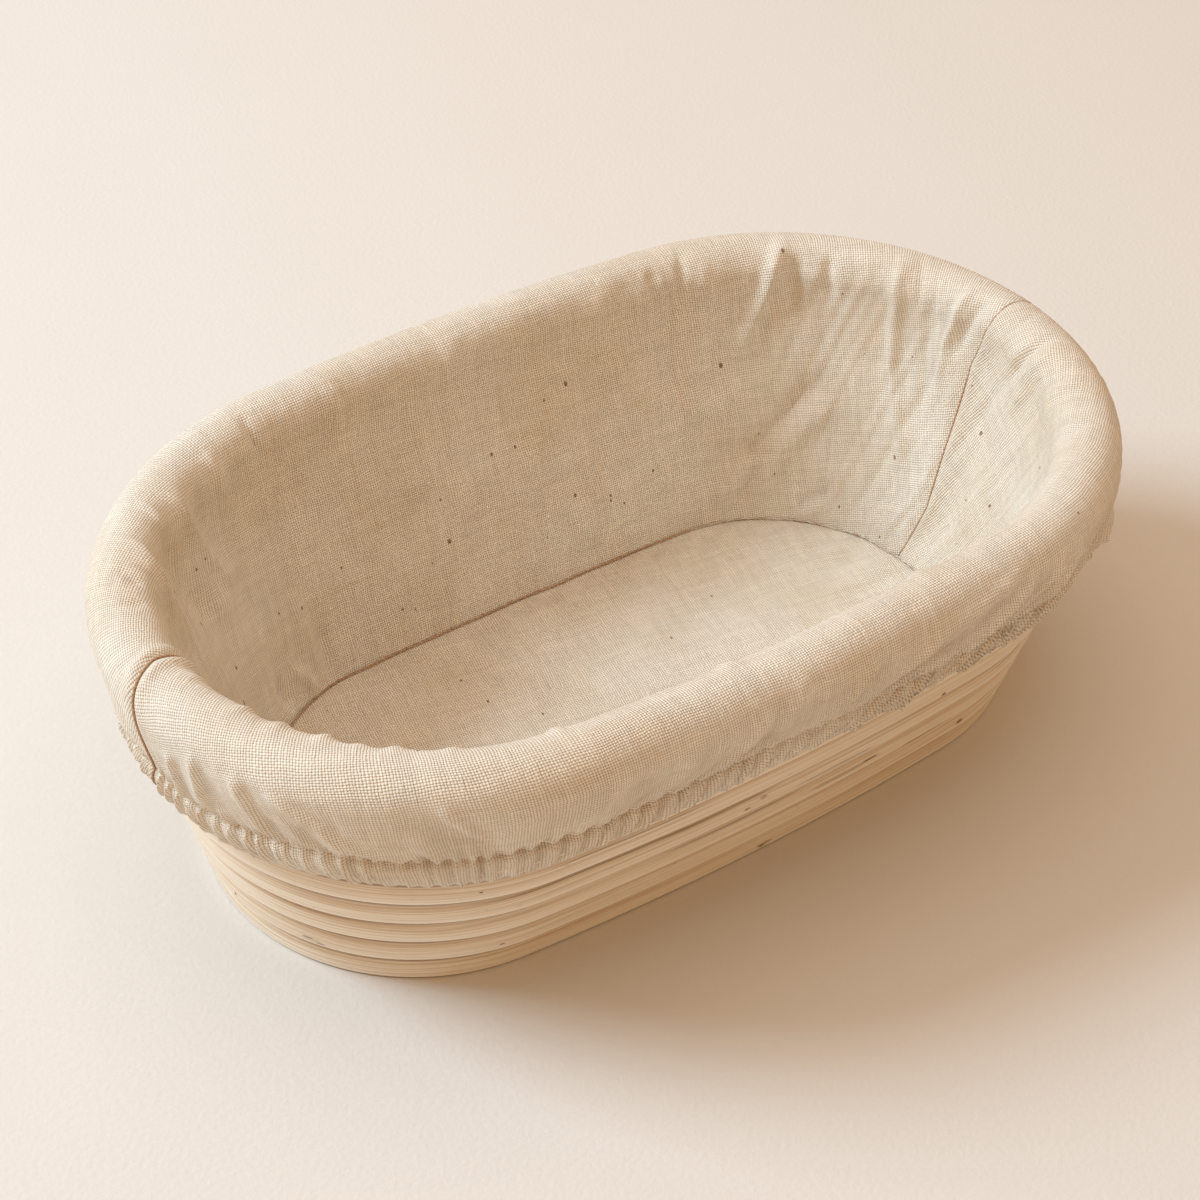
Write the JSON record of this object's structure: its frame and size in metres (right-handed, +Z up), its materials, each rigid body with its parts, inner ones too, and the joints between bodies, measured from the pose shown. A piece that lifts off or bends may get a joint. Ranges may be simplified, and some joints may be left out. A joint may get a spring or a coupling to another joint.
{
  "type": "proofing basket",
  "caption": "Oval proofing basket of coiled rattan cane with a flared wall and a removable cloth liner gathered under the rim by an elastic hem.",
  "frame": {"origin": "middle of the underside, on the surface that the basket stands on", "axes": "+X along the basket's length, +Y across it to the far side, +Z up out of its mouth"},
  "size_m": [0.2518, 0.1592, 0.0795],
  "materials": {
    "wall_cane": "bare satin rattan cane, pale straw",
    "base_cane": "bare satin rattan cane, pale straw",
    "wire": "plain wire",
    "side_cloth": "unbleached plain-weave cotton and linen",
    "floor_cloth": "unbleached plain-weave cotton and linen",
    "thread": "brown sewing thread",
    "elastic": "off-white woven elastic"
  },
  "bodies": {
    "basket": {"heart_cane": "base_cane", "base_coil": "base_cane", "lower_wall_cane": "wall_cane", "upper_wall_cane": "wall_cane", "wall_staple_2a": "wire", "wall_staple_2b": "wire", "wall_staple_3a": "wire", "wall_staple_3b": "wire", "wall_staple_4a": "wire", "wall_staple_4b": "wire", "wall_staple_5a": "wire", "wall_staple_5b": "wire", "wall_staple_6a": "wire", "wall_staple_6b": "wire", "wall_staple_7a": "wire", "wall_staple_7b": "wire", "wall_staple_8a": "wire", "wall_staple_8b": "wire", "base_staple_1a": "wire", "base_staple_1b": "wire", "base_staple_2a": "wire", "base_staple_2b": "wire", "base_staple_3a": "wire", "base_staple_3b": "wire", "base_staple_4a": "wire", "base_staple_4b": "wire", "base_staple_5a": "wire", "base_staple_5b": "wire", "base_pin_1": "wire", "base_pin_2": "wire", "base_pin_3": "wire", "base_pin_4": "wire", "course_pin_1": "wire", "course_pin_2": "wire", "course_pin_3": "wire", "course_pin_4": "wire"},
    "liner": {"floor_panel": "floor_cloth", "near_side_panel": "side_cloth", "far_side_panel": "side_cloth", "hem_elastic": "elastic", "hem_thread": "thread", "floor_seam_thread": "thread", "right_end_seam_thread": "thread", "left_end_seam_thread": "thread"}
  },
  "joints": [
    {"name": "liner_lift", "type": "slide", "parent": "basket", "child": "liner", "axis": [0, 0, 1], "range_m": [0, 0.085], "deforming": ["near_side_panel", "far_side_panel", "hem_elastic", "hem_thread", "right_end_seam_thread", "left_end_seam_thread"]}
  ]
}
